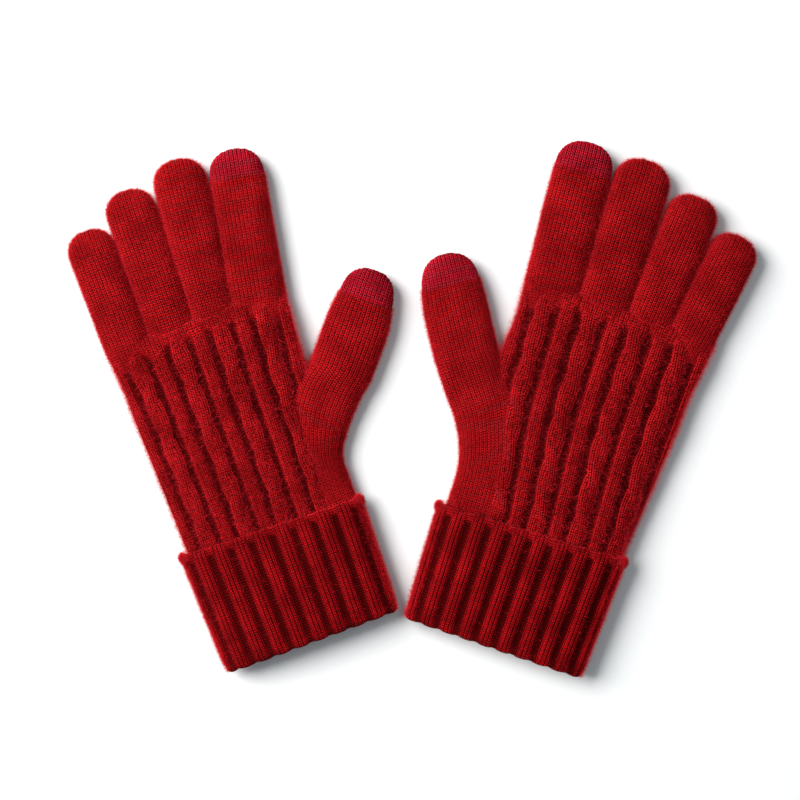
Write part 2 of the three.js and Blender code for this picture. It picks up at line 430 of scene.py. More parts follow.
def fluff_tree():
    """Scatters short loose fibres over a piece of knitting."""
    sizes = [("Density", "NodeSocketFloat"), ("Length", "NodeSocketFloat"),
             ("Thickness", "NodeSocketFloat"), ("Seed", "NodeSocketInt"),
             ("Material", "NodeSocketMaterial")]
    tree, start, end = new_tree("Wool fluff", sizes)
    normal = tree.nodes.new("GeometryNodeInputNormal")
    split = tree.nodes.new("ShaderNodeSeparateXYZ")
    tree.links.new(normal.outputs[0], split.inputs[0])
    facing = Number(tree, split.outputs["Z"])
    sides = ease(facing, -0.55, -0.1) * (1.0 - ease(facing, 0.35, 0.85))
    share = sides * SIDE_FLUFF + ease(facing, 0.0, 0.6)
    density = share * Number(tree, start.outputs["Density"]) * attribute_number(tree, "fluffy")
    scatter = tree.nodes.new("GeometryNodeDistributePointsOnFaces")
    tree.links.new(start.outputs["Geometry"], scatter.inputs["Mesh"])
    plug(tree, density, scatter.inputs["Density"])
    tree.links.new(start.outputs["Seed"], scatter.inputs["Seed"])

    fibre = tree.nodes.new("GeometryNodeMeshCone")
    fibre.inputs["Vertices"].default_value = 3
    fibre.inputs["Side Segments"].default_value = 1
    fibre.inputs["Radius Top"].default_value = 0.0
    tree.links.new(start.outputs["Thickness"], fibre.inputs["Radius Bottom"])
    tree.links.new(start.outputs["Length"], fibre.inputs["Depth"])

    put = tree.nodes.new("GeometryNodeInstanceOnPoints")
    tree.links.new(scatter.outputs["Points"], put.inputs["Points"])
    tree.links.new(fibre.outputs["Mesh"], put.inputs["Instance"])
    tree.links.new(scatter.outputs["Rotation"], put.inputs["Rotation"])
    tree.links.new(random_vector(tree, *FIBRE_SIZES, 1), put.inputs["Scale"])
    tilt = tree.nodes.new("GeometryNodeRotateInstances")
    tree.links.new(put.outputs["Instances"], tilt.inputs["Instances"])
    lean = random_vector(tree, (-FIBRE_LEAN, -FIBRE_LEAN, -PI), (FIBRE_LEAN, FIBRE_LEAN, PI), 2)
    tree.links.new(lean, tilt.inputs["Rotation"])
    finish_tree(tree, start, end, kept_above_table(tree, tilt.outputs[0]))
    return tree


def kept_above_table(tree, instances):
    """Bends up the fibres that would go into the table."""
    real = tree.nodes.new("GeometryNodeRealizeInstances")
    tree.links.new(instances, real.inputs[0])
    split = tree.nodes.new("ShaderNodeSeparateXYZ")
    tree.links.new(tree.nodes.new("GeometryNodeInputPosition").outputs[0], split.inputs[0])
    join = tree.nodes.new("ShaderNodeCombineXYZ")
    for axis in "XY":
        tree.links.new(split.outputs[axis], join.inputs[axis])
    plug(tree, greatest(Number(tree, split.outputs["Z"]), TABLE_CLEARANCE), join.inputs["Z"])
    move = tree.nodes.new("GeometryNodeSetPosition")
    tree.links.new(real.outputs[0], move.inputs["Geometry"])
    tree.links.new(join.outputs[0], move.inputs["Position"])
    return move.outputs[0]


def random_vector(tree, low, high, seed):
    node = tree.nodes.new("FunctionNodeRandomValue")
    node.data_type = "FLOAT_VECTOR"
    node.inputs["Min"].default_value = low
    node.inputs["Max"].default_value = high
    node.inputs["Seed"].default_value = seed
    return node.outputs["Value"]


RELIEF_TREES = {pattern: relief_tree(pattern) for pattern in PATTERNS}
FLUFF_TREE = fluff_tree()


def grown(source, name, tree, inputs):
    """The plain mesh that a node tree makes of an object, as a new object."""
    modifier = source.modifiers.new("Knitting", "NODES")
    modifier.node_group = tree
    for item in tree.interface.items_tree:
        if item.item_type == "SOCKET" and item.in_out == "INPUT" and item.name in inputs:
            modifier[item.identifier] = inputs[item.name]
    bpy.context.view_layer.update()
    evaluated = source.evaluated_get(bpy.context.evaluated_depsgraph_get())
    mesh = bpy.data.meshes.new_from_object(evaluated)
    mesh.name = name
    source.modifiers.remove(modifier)
    piece = bpy.data.objects.new(name, mesh)
    bpy.context.scene.collection.objects.link(piece)
    return piece


# ---------------------------------------------------------------- materials


def stitch_group(pattern):
    """A shader node group with the same stitches as the relief tree of that pattern."""
    tree = bpy.data.node_groups.new("Stitches, " + pattern, "ShaderNodeTree")
    for name in ("Wale", "Course", "Panel", "Inside"):
        tree.interface.new_socket(name, in_out="INPUT", socket_type="NodeSocketFloat")
    for name in ("Relief", "Stitches"):
        tree.interface.new_socket(name, in_out="OUTPUT", socket_type="NodeSocketFloat")
    start = tree.nodes.new("NodeGroupInput")
    end = tree.nodes.new("NodeGroupOutput")
    values = [Number(tree, start.outputs[name]) for name in ("Wale", "Course", "Panel", "Inside")]
    relief, stitches = PATTERNS[pattern](*values)
    plug(tree, 0.7 if relief is None else relief, end.inputs["Relief"])
    plug(tree, stitches, end.inputs["Stitches"])
    return tree


STITCH_GROUPS = {pattern: stitch_group(pattern) for pattern in PATTERNS}


def colour_mix(tree, share, low, high):
    node = tree.nodes.new("ShaderNodeMix")
    node.data_type = "RGBA"
    plug(tree, share, node.inputs["Factor"])
    for socket, colour in ((node.inputs["A"], low), (node.inputs["B"], high)):
        if isinstance(colour, tuple):
            socket.default_value = (*colour, 1.0)
        else:
            tree.links.new(colour, socket)
    return node.outputs["Result"]


DIGIT_FUZZ = 0.55  # how far the fuzz hides the loops of plain knitting
HEATHER_SCALE = 1100.0
PATCH_SCALE = 70.0
HAIR_SCALE = 2600.0
LIT = 0.16, 0.56  # heights of a stitch that are still in painted shade, and that are fully in painted light
UNSHADED = 0.42  # height of the pattern above which the painted shade of its valleys has gone
BRIGHT = 0.7, 1.35  # painted highlight: lightness from the yarn's colour to the full highlight colour
BUMP_STRENGTH = 0.7
BUMP_HEIGHT = 0.4 * MM
SHEEN = 0.03
SHEEN_ROUGHNESS = 0.45
SHEEN_TINT = (1.0, 0.12, 0.14, 1.0)


def knit_material(name, pattern, gap_shade, yarn, highlight, fuzz, shade):
    """Wool knitting: painted shade in the gaps and in the pattern's valleys, painted light and
    painted highlights on the loops, and mottled where fuzz hides the loops.
    """
    material = bpy.data.materials.new(name)
    material.use_nodes = True
    tree = material.node_tree
    shader = tree.nodes["Principled BSDF"]
    stitch_map = tree.nodes.new("ShaderNodeUVMap")
    stitch_map.uv_map = "stitch"
    panel_map = tree.nodes.new("ShaderNodeUVMap")
    panel_map.uv_map = "panel"
    group = tree.nodes.new("ShaderNodeGroup")
    group.node_tree = STITCH_GROUPS[pattern]
    for node, names in ((stitch_map, ("Wale", "Course")), (panel_map, ("Panel", "Inside"))):
        split = tree.nodes.new("ShaderNodeSeparateXYZ")
        tree.links.new(node.outputs[0], split.inputs[0])
        for axis, socket in zip("XY", names):
            tree.links.new(split.outputs[axis], group.inputs[socket])
    stitches = Number(tree, group.outputs["Stitches"])
    relief = Number(tree, group.outputs["Relief"])

    place = tree.nodes.new("ShaderNodeTexCoord").outputs["Object"]
    heather = noise_number(tree, HEATHER_SCALE, place)
    patches = noise_number(tree, PATCH_SCALE, place)
    hairs = noise_number(tree, HAIR_SCALE, place)
    if pattern == "panel":
        fuzz = mixed(DIGIT_FUZZ, fuzz, Number(tree, split.outputs["Y"]))
    # painted shade and painted light: low stitch heights take the dark gap colour, high ones the
    # yarn's
    light = ease(stitches + (heather - 0.5) * fuzz, *LIT)
    # painted shade: the pattern's valleys are darkened, as strongly as shade says
    depth = ease(relief, 0.0, UNSHADED) * shade + (1.0 - shade)
    base = colour_mix(tree, light * depth, gap_shade, yarn)
    # painted highlight: lit loops, mottled at random, turn towards the highlight colour
    loose = (patches - 0.5) * 0.6 + (hairs - 0.5) * 0.9 + (heather - 0.5) * 0.4
    lift = ease(light * depth + loose, *BRIGHT)
    tree.links.new(colour_mix(tree, lift, base, highlight), shader.inputs["Base Color"])
    bump = tree.nodes.new("ShaderNodeBump")
    bump.inputs["Strength"].default_value = BUMP_STRENGTH
    bump.inputs["Distance"].default_value = BUMP_HEIGHT
    plug(tree, stitches + (hairs - 0.5) * 0.5, bump.inputs["Height"])
    tree.links.new(bump.outputs[0], shader.inputs["Normal"])
    shader.inputs["Roughness"].default_value = 1.0
    shader.inputs["Specular IOR Level"].default_value = 0.04
    shader.inputs["Sheen Weight"].default_value = SHEEN
    shader.inputs["Sheen Roughness"].default_value = SHEEN_ROUGHNESS
    shader.inputs["Sheen Tint"].default_value = SHEEN_TINT
    return material


DARK_FIBRE = 0.55  # of the lightest


def fibre_material(name, colour):
    """Loose fibres, some darker than others."""
    material = bpy.data.materials.new(name)
    material.use_nodes = True
    tree = material.node_tree
    shader = tree.nodes["Principled BSDF"]
    place = tree.nodes.new("ShaderNodeTexCoord").outputs["Object"]
    shade = noise_number(tree, 500.0, place)
    dark = tuple(DARK_FIBRE * value for value in colour)
    tree.links.new(colour_mix(tree, shade, dark, colour), shader.inputs["Base Color"])
    shader.inputs["Roughness"].default_value = 0.9
    shader.inputs["Specular IOR Level"].default_value = 0.1
    return material


# Of each yarn: painted shade between its stitches, the yarn itself, and a painted highlight where the
# light catches it.
SHADED_GAP_RED = (0.010, 0.0001, 0.0002)
WOOL_RED = (0.24, 0.0022, 0.0036)
# The same yarn as WOOL_RED, painted darker on the hands: painted shade.
SHADED_HAND_RED = (0.188, 0.0014, 0.0024)
HIGHLIGHT_RED = (0.66, 0.012, 0.016)
SHADED_GAP_RIB = (0.004, 0.0001, 0.0001)
# The same wool, darker on the cuffs: partly for their thinner fluff, partly painted shade.
RIB_RED = (0.13, 0.0009, 0.0017)
HIGHLIGHT_RIB = (0.56, 0.006, 0.010)
SHADED_GAP_CRIMSON = (0.008, 0.0001, 0.0005)
CRIMSON = (0.255, 0.0028, 0.0085)
HIGHLIGHT_CRIMSON = (0.78, 0.022, 0.050)
FIBRE_RED = (0.85, 0.02, 0.035)

# The last number of each knitting is how strongly its pattern's valleys are darkened with painted
# shade.
MATERIALS = {
    "hand": knit_material("cable_knit_wool", "panel", SHADED_GAP_RED, SHADED_HAND_RED, HIGHLIGHT_RED, 1.1, 0.72),
    "digit": knit_material("plain_knit_wool", "plain", SHADED_GAP_RED, WOOL_RED, HIGHLIGHT_RED, DIGIT_FUZZ,
                          0.0),
    "cuff": knit_material("ribbed_wool", "rib", SHADED_GAP_RIB, RIB_RED, HIGHLIGHT_RIB, 0.25, 0.42),
    "touch": knit_material("touch_yarn", "plain", SHADED_GAP_CRIMSON, CRIMSON, HIGHLIGHT_CRIMSON, 0.15, 0.0),
    "fluff": fibre_material("wool_fibres", FIBRE_RED),
}


# ---------------------------------------------------------------- smooth shapes


def shares_round(wales, fine=COLUMNS_PER_WALE, coarse=UNDER_COLUMNS_PER_WALE):
    """Places round a tube, from -0.5 to 0.5 with 0 at the middle of the top, in step with its
    columns of stitches and closer together on the top."""
    edge = round(TOP_SHARE * wales) / wales
    top = np.arange(-round(edge * wales * fine), round(edge * wales * fine) + 1) / (wales * fine)
    under = np.arange(1, round((0.5 - edge) * wales * coarse) + 1) / (wales * coarse) + edge
    under = under[under < 0.5 - 1e-9]
    return np.concatenate([[-0.5], -under[::-1], top, under])


def wales_round(half, thick, pitch, multiple=1):
    """How many columns of stitches go round a flat tube."""
    return multiple * round(section(half, 0, thick)[2][-1] / (pitch * multiple))


SIDE_ROUNDNESS = 0.78  # powers of a tube's section: 1 is an ellipse, and less is squarer
TOP_ROUNDNESS = 0.8
UNDER_ROUNDNESS = 0.6


def section(half, low, high):
    """A closed section of a tube that lies flat, from the middle of its underside over its
    thumb-less side, top and thumb side, as x, z and distance round."""
    angle = np.linspace(-PI, PI, DENSE + 1)
    s, c = np.sin(angle), np.cos(angle)
    x = half * np.sign(s) * np.abs(s) ** SIDE_ROUNDNESS
    middle, rise = (low + high) / 2, (high - low) / 2
    power = np.where(c > 0, TOP_ROUNDNESS, UNDER_ROUNDNESS)
    z = middle + rise * np.sign(c) * np.abs(c) ** power
    step = np.hypot(np.diff(x), np.diff(z))
    return x, z, np.concatenate([[0], np.cumsum(step)])


class Stations:
    """The sections along a tube: centre, direction, half width, underside and top of each."""

    def __init__(self, centre, forward, half, low, high):
        self.centre, self.forward = np.asarray(centre), np.asarray(forward)
        count = len(self.centre)
        self.half, self.low, self.high = (
            np.broadcast_to(np.asarray(value, float), count) for value in (half, low, high))

    def rings(self, shares):
        """u, v, z and distance from the middle of the top, for each station and share."""
        x, z, arc = (np.zeros((len(self.half), len(shares))) for _ in range(3))
        for i, (half, low, high) in enumerate(zip(self.half, self.low, self.high)):
            sx, sz, round_it = section(half, low, high)
            at = (shares + 0.5) * round_it[-1]
            x[i], z[i] = np.interp(at, round_it, sx), np.interp(at, round_it, sz)
            arc[i] = shares * round_it[-1]
        u = self.centre[:, :1] + x * self.forward[:, 1:]
        v = self.centre[:, 1:] - x * self.forward[:, :1]
        return u, v, z, arc


def mesh_object(glove, name, u, v, z, values, wrap, closed_ends, loops_closed=False):
    """A grid of points as a closed surface. values holds wale, course, panel, inside, soften and
    fluffy at each point, and wrap what wale gains once round."""
    rows, columns = u.shape
    points = glove.world(u, v, z).reshape(-1, 3)
    i = np.arange(rows if loops_closed else rows - 1)[:, None]
    k = np.arange(columns)[None, :]
    below, above = i * columns, (i + 1) % rows * columns
    right = (k + 1) % columns
    quads = np.stack([below + k, below + right, above + right, above + k], -1).reshape(-1, 4)
    stitch = np.stack([values["wale"], values["course"]], -1)
    seam = np.concatenate([stitch, stitch[:, :1] + [wrap, 0]], 1)
    pattern = np.stack([values["panel"], values["inside"]], -1)
    pattern = np.concatenate([pattern, pattern[:, :1]], 1)
    here, there = (row + 0 * k for row in (i, (i + 1) % rows))
    start, end = (column + 0 * i for column in (k, k + 1))
    corners = [(here, start), (here, end), (there, end), (there, start)]
    stitch_uv = np.stack([seam[a, b] for a, b in corners], 2).reshape(-1, 2)
    panel_uv = np.stack([pattern[a, b] for a, b in corners], 2).reshape(-1, 2)
    attributes = {key: np.asarray(value, float).reshape(-1) for key, value in values.items()}
    faces = quads.tolist()
    for end, row in closed_ends:
        ring = row * columns + np.arange(columns)
        centre = len(points)
        points = np.vstack([points, points[ring].mean(0)])
        turned = np.roll(ring, -1)
        fan = np.stack([ring, np.full(columns, centre), turned], -1)
        if end == "tip":
            fan = fan[:, ::-1]
        faces += fan.tolist()
        for key, value in attributes.items():
            attributes[key] = np.append(value, value[ring].mean())
        middle = [[stitch[row, :, 0].mean(), stitch[row, 0, 1]]] * columns
        fan_uv = np.stack([seam[row, :-1], middle, seam[row, 1:]], 1)
        flat = np.zeros((columns, 3, 2))
        if end == "tip":
            fan_uv = fan_uv[:, ::-1]
        stitch_uv = np.vstack([stitch_uv, fan_uv.reshape(-1, 2)])
        panel_uv = np.vstack([panel_uv, flat.reshape(-1, 2)])
    mesh = bpy.data.meshes.new(name)
    if glove.side < 0:
        sizes = [len(face) for face in faces]
        faces = [face[::-1] for face in faces]
        stitch_uv, panel_uv = (reversed_corners(data, sizes) for data in (stitch_uv, panel_uv))
    mesh.from_pydata(points.tolist(), [], faces)
    for key, data in (("stitch", stitch_uv), ("panel", panel_uv)):
        mesh.uv_layers.new(name=key).data.foreach_set("uv", data.reshape(-1))
    for key, data in attributes.items():
        mesh.attributes.new(key if key != "panel" else "panel_x", "FLOAT", "POINT").data.foreach_set(
            "value", data.astype(np.float32))
    mesh.polygons.foreach_set("use_smooth", [True] * len(mesh.polygons))
    mesh.update()
    piece = bpy.data.objects.new(name, mesh)
    bpy.context.scene.collection.objects.link(piece)
    return piece


def reversed_corners(data, sizes):
    """Per-corner values in the order of faces whose corners have been turned round."""
    ends = np.cumsum(sizes)
    order = np.concatenate([np.arange(end - 1, end - size - 1, -1) for end, size in zip(ends, sizes)])
    return data[order]


def knitted(glove, smooth, name, pattern, kind, stitch_depth, pattern_height, unevenness):
    """The finished knitting of a smooth shape."""
    piece = grown(smooth, name + "_knit", RELIEF_TREES[pattern], {
        "Stitch Depth": stitch_depth, "Pattern Height": pattern_height,
        "Unevenness": unevenness, "Material": MATERIALS[kind]})
    bpy.data.objects.remove(smooth)
    piece.data.materials.clear()
    piece.data.materials.append(MATERIALS[kind])
    return piece


FLUFF_PER_M2 = 700000
FLUFF_LENGTH = 3.6 * MM
FLUFF_THICKNESS = 0.06 * MM
SIDE_FROM = 0.215  # share of the way round a tube where its side starts
SIDE_BAND = 0.03
DIGIT_TOP_FLUFF = 0.25  # how thick the fluff stands on top, for 1 at the sides
HAND_TOP_FLUFF = 0.5
CUFF_TOP_FLUFF = 0.06
BRIM_FLUFF = 24  # more than on the rest of the cuff


def fluff(piece, seed, density=1.0, length=1.0):
    """The loose fibres that stand off a piece."""
    hairs = grown(piece, piece.name + "_fluff", FLUFF_TREE, {
        "Density": FLUFF_PER_M2 * density, "Length": FLUFF_LENGTH * length,
        "Thickness": FLUFF_THICKNESS, "Seed": seed, "Material": MATERIALS["fluff"]})
    for key in ("stitch", "panel"):
        if key in hairs.data.uv_layers:
            hairs.data.uv_layers.remove(hairs.data.uv_layers[key])
    for key in POINT_VALUES:
        if key in hairs.data.attributes:
            hairs.data.attributes.remove(hairs.data.attributes[key])
    return hairs


POINT_VALUES = ("wale", "course", "panel_x", "inside", "soften", "fluffy")


# ---------------------------------------------------------------- fingers and thumbs

DIGIT_REACH_BACK = 22 * MM  # how far a finger's tube goes into the hand
ROOT_SINK = 1.5 * MM  # how much lower its top starts there
TIP_INSET = 0.9 * MM  # the stitches and fluff bring a tip up to its full length
THUMB_TIP_INSET = 0.2 * MM
TIP_OVERLAP = 1.2 * MM  # how far a touch tip's tube goes into the finger's
ROOT_NARROWING = 0.2  # share of its width that a finger's tube loses inside the hand
SWELL_LENGTH = 0.42  # share of a finger's length over which it reaches its full width
CROWN = 0.035  # how much higher a finger is half way along, as a share
WIDEST_LEVEL = 0.46  # share of a digit's height where its tip closes
UNDERSIDE = 0.5 * MM
BEND_REACH = {"finger": 9 * MM, "thumb": 13 * MM}  # each way from the root

# The thumb's strip, from the cuff up to the thumb's pivot: points of its outer edge, and of its
# inner edge, which lies under the edge of the hand. Millimetres, u and v.
THUMB_STRIP = {
    "left": ([(45.0, 54), (45.1, 72), (46.4, 84), (54.6, 96), (64.4, 106.5)],
             [(22, 54), (23, 72), (24, 92), (29, 112), (38, 125)]),
    "right": ([(44.6, 54), (44.9, 76), (47.4, 88.5), (54, 101.5), (64, 114)],
              [(17, 54), (19, 78), (22, 98), (30, 120), (39, 134)]),
}
THUMB_BELLY = 1.1 * MM  # how far the thumb bulges outwards


def round_tip(distance, length, radius):
    """Shares of full width and of full thickness at distances along a digit."""
    beyond = np.clip((distance - (length - radius)) / radius, 0, 1)
    width = (1 - beyond ** 2.25) ** (1 / 2.25)
    thick = (1 - beyond ** 2.8) ** (1 / 2.1)
    return width, thick


def digit_steps(start, length, radius):
    """Distances along a digit: even to the start of its tip, then closing up to its end."""
    step = COURSE / ROWS_PER_COURSE
    straight = np.arange(start, length - radius, step)
    angle = np.linspace(0, PI / 2, round(radius * 1.35 / step))
    tip = length - radius + radius * np.sin(angle[:-1])
    return np.concatenate([straight, tip, [length - 0.02 * MM]])


def fluff_share(shares, on_top):
    """How thick the fluff stands round a tube: 1 at its sides and less on its top."""
    return on_top + (1 - on_top) * smooth(np.abs(shares), SIDE_FROM, SIDE_FROM + SIDE_BAND)


def digit_values(stations, arc, shares, wales, distance, tip_start):
    """Stitch places: columns in step round the tube, running straight on to the tip's edge."""
    full = arc[np.searchsorted(distance, tip_start) - 1]
    pitch = (full[-1] - full[0]) / (shares[-1] - shares[0]) / wales
    wale = np.broadcast_to(shares * wales, arc.shape).copy()
    tip = distance > tip_start
    top = np.abs(shares) <= 0.25
    over = arc[tip] / pitch
    half_round = np.sign(shares) * 0.5
    length_round = arc[tip][:, -1:] / shares[-1]
    under = half_round * wales + (shares - half_round) * length_round / pitch
    wale[tip] = np.where(top, over, under)
    course = np.broadcast_to(distance[:, None] / COURSE, arc.shape)
    zero = np.zeros_like(wale)
    return {"wale": wale, "course": course, "panel": zero, "inside": zero,
            "soften": zero + 1, "fluffy": zero + fluff_share(shares, DIGIT_TOP_FLUFF)}


def finger_stations(digit, distance):
    """Straight tube: sunk at its root inside the hand, full further up, round at its tip."""
    radius = digit.half
    swell = np.clip(distance / (SWELL_LENGTH * digit.length), 0, 1)
    half = digit.root_half * 1.015 + (digit.half - digit.root_half) * swell
    half = half * (1 - ROOT_NARROWING * (1 - smooth(distance, -DIGIT_REACH_BACK, -7 * MM)))
    width, thick = round_tip(distance, digit.length, radius)
    rise = smooth(distance, -DIGIT_REACH_BACK, 2 * MM)
    crown = CROWN * np.sin(PI * np.clip(distance / digit.length, 0, 1))
    top = digit.top * (1 + crown) + 0.3 * MM
    top = top - ROOT_SINK * (1 - rise)
    low = UNDERSIDE + 0 * top
    middle = low + (top - low) * WIDEST_LEVEL
    centre = digit.hinge + distance[:, None] * digit.forward
    forward = np.broadcast_to(digit.forward, centre.shape)
    return Stations(centre, forward, half * width, middle - (middle - low) * thick,
                    middle + (top - middle) * thick)


def thumb_stations(glove, digit):
    """The thumb and, behind its pivot, the plain strip that it grows from, which runs down the
    side of the hand to the cuff."""
    straight = digit_steps(0, digit.length, digit.half)
    share = straight / digit.length
    belly = THUMB_BELLY * np.sin(PI * np.clip(share + 0.18, 0, 1)) ** 0.7
    half = digit.root_half + (digit.half - 0.3 * MM - digit.root_half) * smooth(share, 0.45, 0.85)
    half = half + 0.35 * belly
    middle = digit.hinge + straight[:, None] * digit.forward + 0.6 * belly[:, None] * digit.sideways
    outer, inner = (np.array(edge) * MM for edge in THUMB_STRIP[glove.name])
    outer = np.vstack([outer, middle[0] + half[0] * digit.sideways])
    inner = np.vstack([inner, middle[0] - half[0] * digit.sideways])
    outer, inner = (flowing(edge, 40) for edge in (outer, inner))
    centre = (outer + inner) / 2
    gone = np.concatenate([[0], np.cumsum(np.linalg.norm(np.diff(centre, axis=0), axis=1))])
    back = np.arange(0, gone[-1], COURSE / ROWS_PER_COURSE)[:-1]
    outer, inner = (np.column_stack([np.interp(back, gone, edge[:, j]) for j in (0, 1)])
                    for edge in (outer, inner))
    across = outer - inner
    width = np.linalg.norm(across, axis=1)
    across = np.vstack([across / width[:, None],
                        np.broadcast_to(digit.sideways, (len(straight), 2))])
    forward = np.column_stack([-across[:, 1], across[:, 0]])
    distance = np.concatenate([back - gone[-1], straight])
    half = np.concatenate([width / 2, half])
    centre = np.vstack([(outer + inner) / 2, middle])
    round_width, round_thick = round_tip(distance, digit.length, digit.half)
    rise = smooth(distance, -40 * MM, 0)
    top = digit.top + 0.4 * MM - 1.5 * MM * (1 - rise)
    low = UNDERSIDE + 0 * top
    level = low + (top - low) * WIDEST_LEVEL
    return distance, Stations(centre, forward, half * round_width,
                              level - (level - low) * round_thick,
                              level + (top - level) * round_thick)


def flowing(points, steps):
    """A smooth curve through points, with as many steps from each to the next."""
    ends = np.vstack([2 * points[0] - points[1], points, 2 * points[-1] - points[-2]])
    t = np.linspace(0, 1, steps, endpoint=False)[:, None]
    parts = []
    for a, b, c, d in zip(ends, ends[1:], ends[2:], ends[3:]):
        parts.append(0.5 * (2 * b + (c - a) * t + (2 * a - 5 * b + 4 * c - d) * t ** 2
                            + (3 * b - a - 3 * c + d) * t ** 3))
    return np.vstack(parts + [points[-1:]])


def smooth(value, low, high):
    share = np.clip((value - low) / (high - low), 0, 1)
    return share * share * (3 - 2 * share)


def build_digit(glove, part, seed):
    digit = Digit(glove, part)
    is_thumb = part == "thumb"
    if is_thumb:
        distance, stations = thumb_stations(glove, digit)
    else:
        distance = digit_steps(-DIGIT_REACH_BACK, digit.length, digit.half)
        stations = finger_stations(digit, distance)
    wales = wales_round(digit.half, digit.top, WALE)
    shares = shares_round(wales)
    u, v, z, arc = stations.rings(shares)
    values = digit_values(stations, arc, shares, wales, distance, digit.length - digit.half)
    body, hand = glove.body(part), glove.body("hand")
    pieces = []
    if digit.has_tip:
        cut = np.searchsorted(distance, digit.seam)
        back = cut - round(TIP_OVERLAP / (COURSE / ROWS_PER_COURSE))
        for rows, kind, name in ((slice(0, cut + 1), "digit", part),
                                 (slice(back, None), "touch", digit.tip)):
            some = {key: value[rows] for key, value in values.items()}
            zs = z[rows]
            if kind == "touch":
                some["soften"] = some["soften"] * np.clip(
                    (np.arange(len(zs)) / (cut - back)), 0, 1)[:, None]
            ends = [("root", 0), ("tip", len(zs) - 1)]
            smooth_piece = mesh_object(glove, "smooth", u[rows], v[rows], zs, some, wales, ends)
            depth = TOUCH_STITCH_DEPTH if kind == "touch" else STITCH_DEPTH
            pieces.append((knitted(glove, smooth_piece, glove.node(name), "plain", kind, depth, 0.0,
                                   UNEVENNESS), kind, name))
    else:
        ends = [("root", 0), ("tip", len(z) - 1)]
        smooth_piece = mesh_object(glove, "smooth", u, v, z, values, wales, ends)
        pieces.append((knitted(glove, smooth_piece, glove.node(part), "plain", "digit",
                               STITCH_DEPTH, 0.0, UNEVENNESS), "digit", part))
    for piece, kind, name in pieces:
        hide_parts(glove.node(name))
        moving = [piece]
        if kind == "digit":
            moving.append(fluff(piece, seed, 0.9, 0.62))
        for item in moving:
            if kind == "touch":
                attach(item, body)
            else:
                bend_at_root(glove, digit, item)


def bend_at_root(glove, digit, item):
    """Works out the ends of a digit's bend, over its knuckle line or round its root, without using
    them, and bakes the piece's placing into its mesh.
    """
    reach = BEND_REACH["thumb" if digit.part == "thumb" else "finger"]
    direction = digit.forward if digit.part == "thumb" else np.array([0.0, 1.0])
    start, end = digit.hinge - reach * direction, digit.hinge + reach * direction
    glove.point(*start, 0.0)
    glove.point(*end, 0.0)
    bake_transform(item)


# ---------------------------------------------------------------- the hand

WRIST = 60 * MM
HAND_END = 6 * MM  # below the fingers' fold lines, inside their roots
TUCK = 7 * MM  # how far the hand goes down inside the cuff
HAND_TOP = 12.0 * MM
HAND_LOW = 0.6 * MM
PANEL_TOP = 15 * MM  # below the fingers' fold lines

WAIST = 1.6 * MM  # how far the little finger's side draws in below its knuckle
WAIST_FROM = 122 * MM

# The thumb-side edge of the hand, where it lies over the thumb's strip and then, above the
# thumb, where it is the glove's outline. Millimetres, u and v.
HAND_EDGE = {
    "left": [(34.8, 52), (34.8, 104), (37.8, 116), (41.3, 123), (44.6, 131), (44.9, 140),
             (45.4, 151), (46.3, 161), (47.4, 171), (48.8, 182)],
    "right": [(26.8, 52), (28.6, 86), (30.8, 100), (34, 110), (37.7, 120), (41.6, 130),
              (43.6, 139), (43.2, 146), (42, 156), (42, 166), (43.3, 176), (44.4, 190)],
}
# The middles of the first and last of the panel's five ribs, the first on the little finger's
# side. Millimetres, u of each and v.
PANEL_SPAN = {
    "left": [(-41.6, 38.2, 60), (-43.6, 41.4, 131), (-46.4, 46, 170)],
    "right": [(-53, 30.6, 66), (-52.8, 40.2, 121), (-53.6, 43, 168)],
}


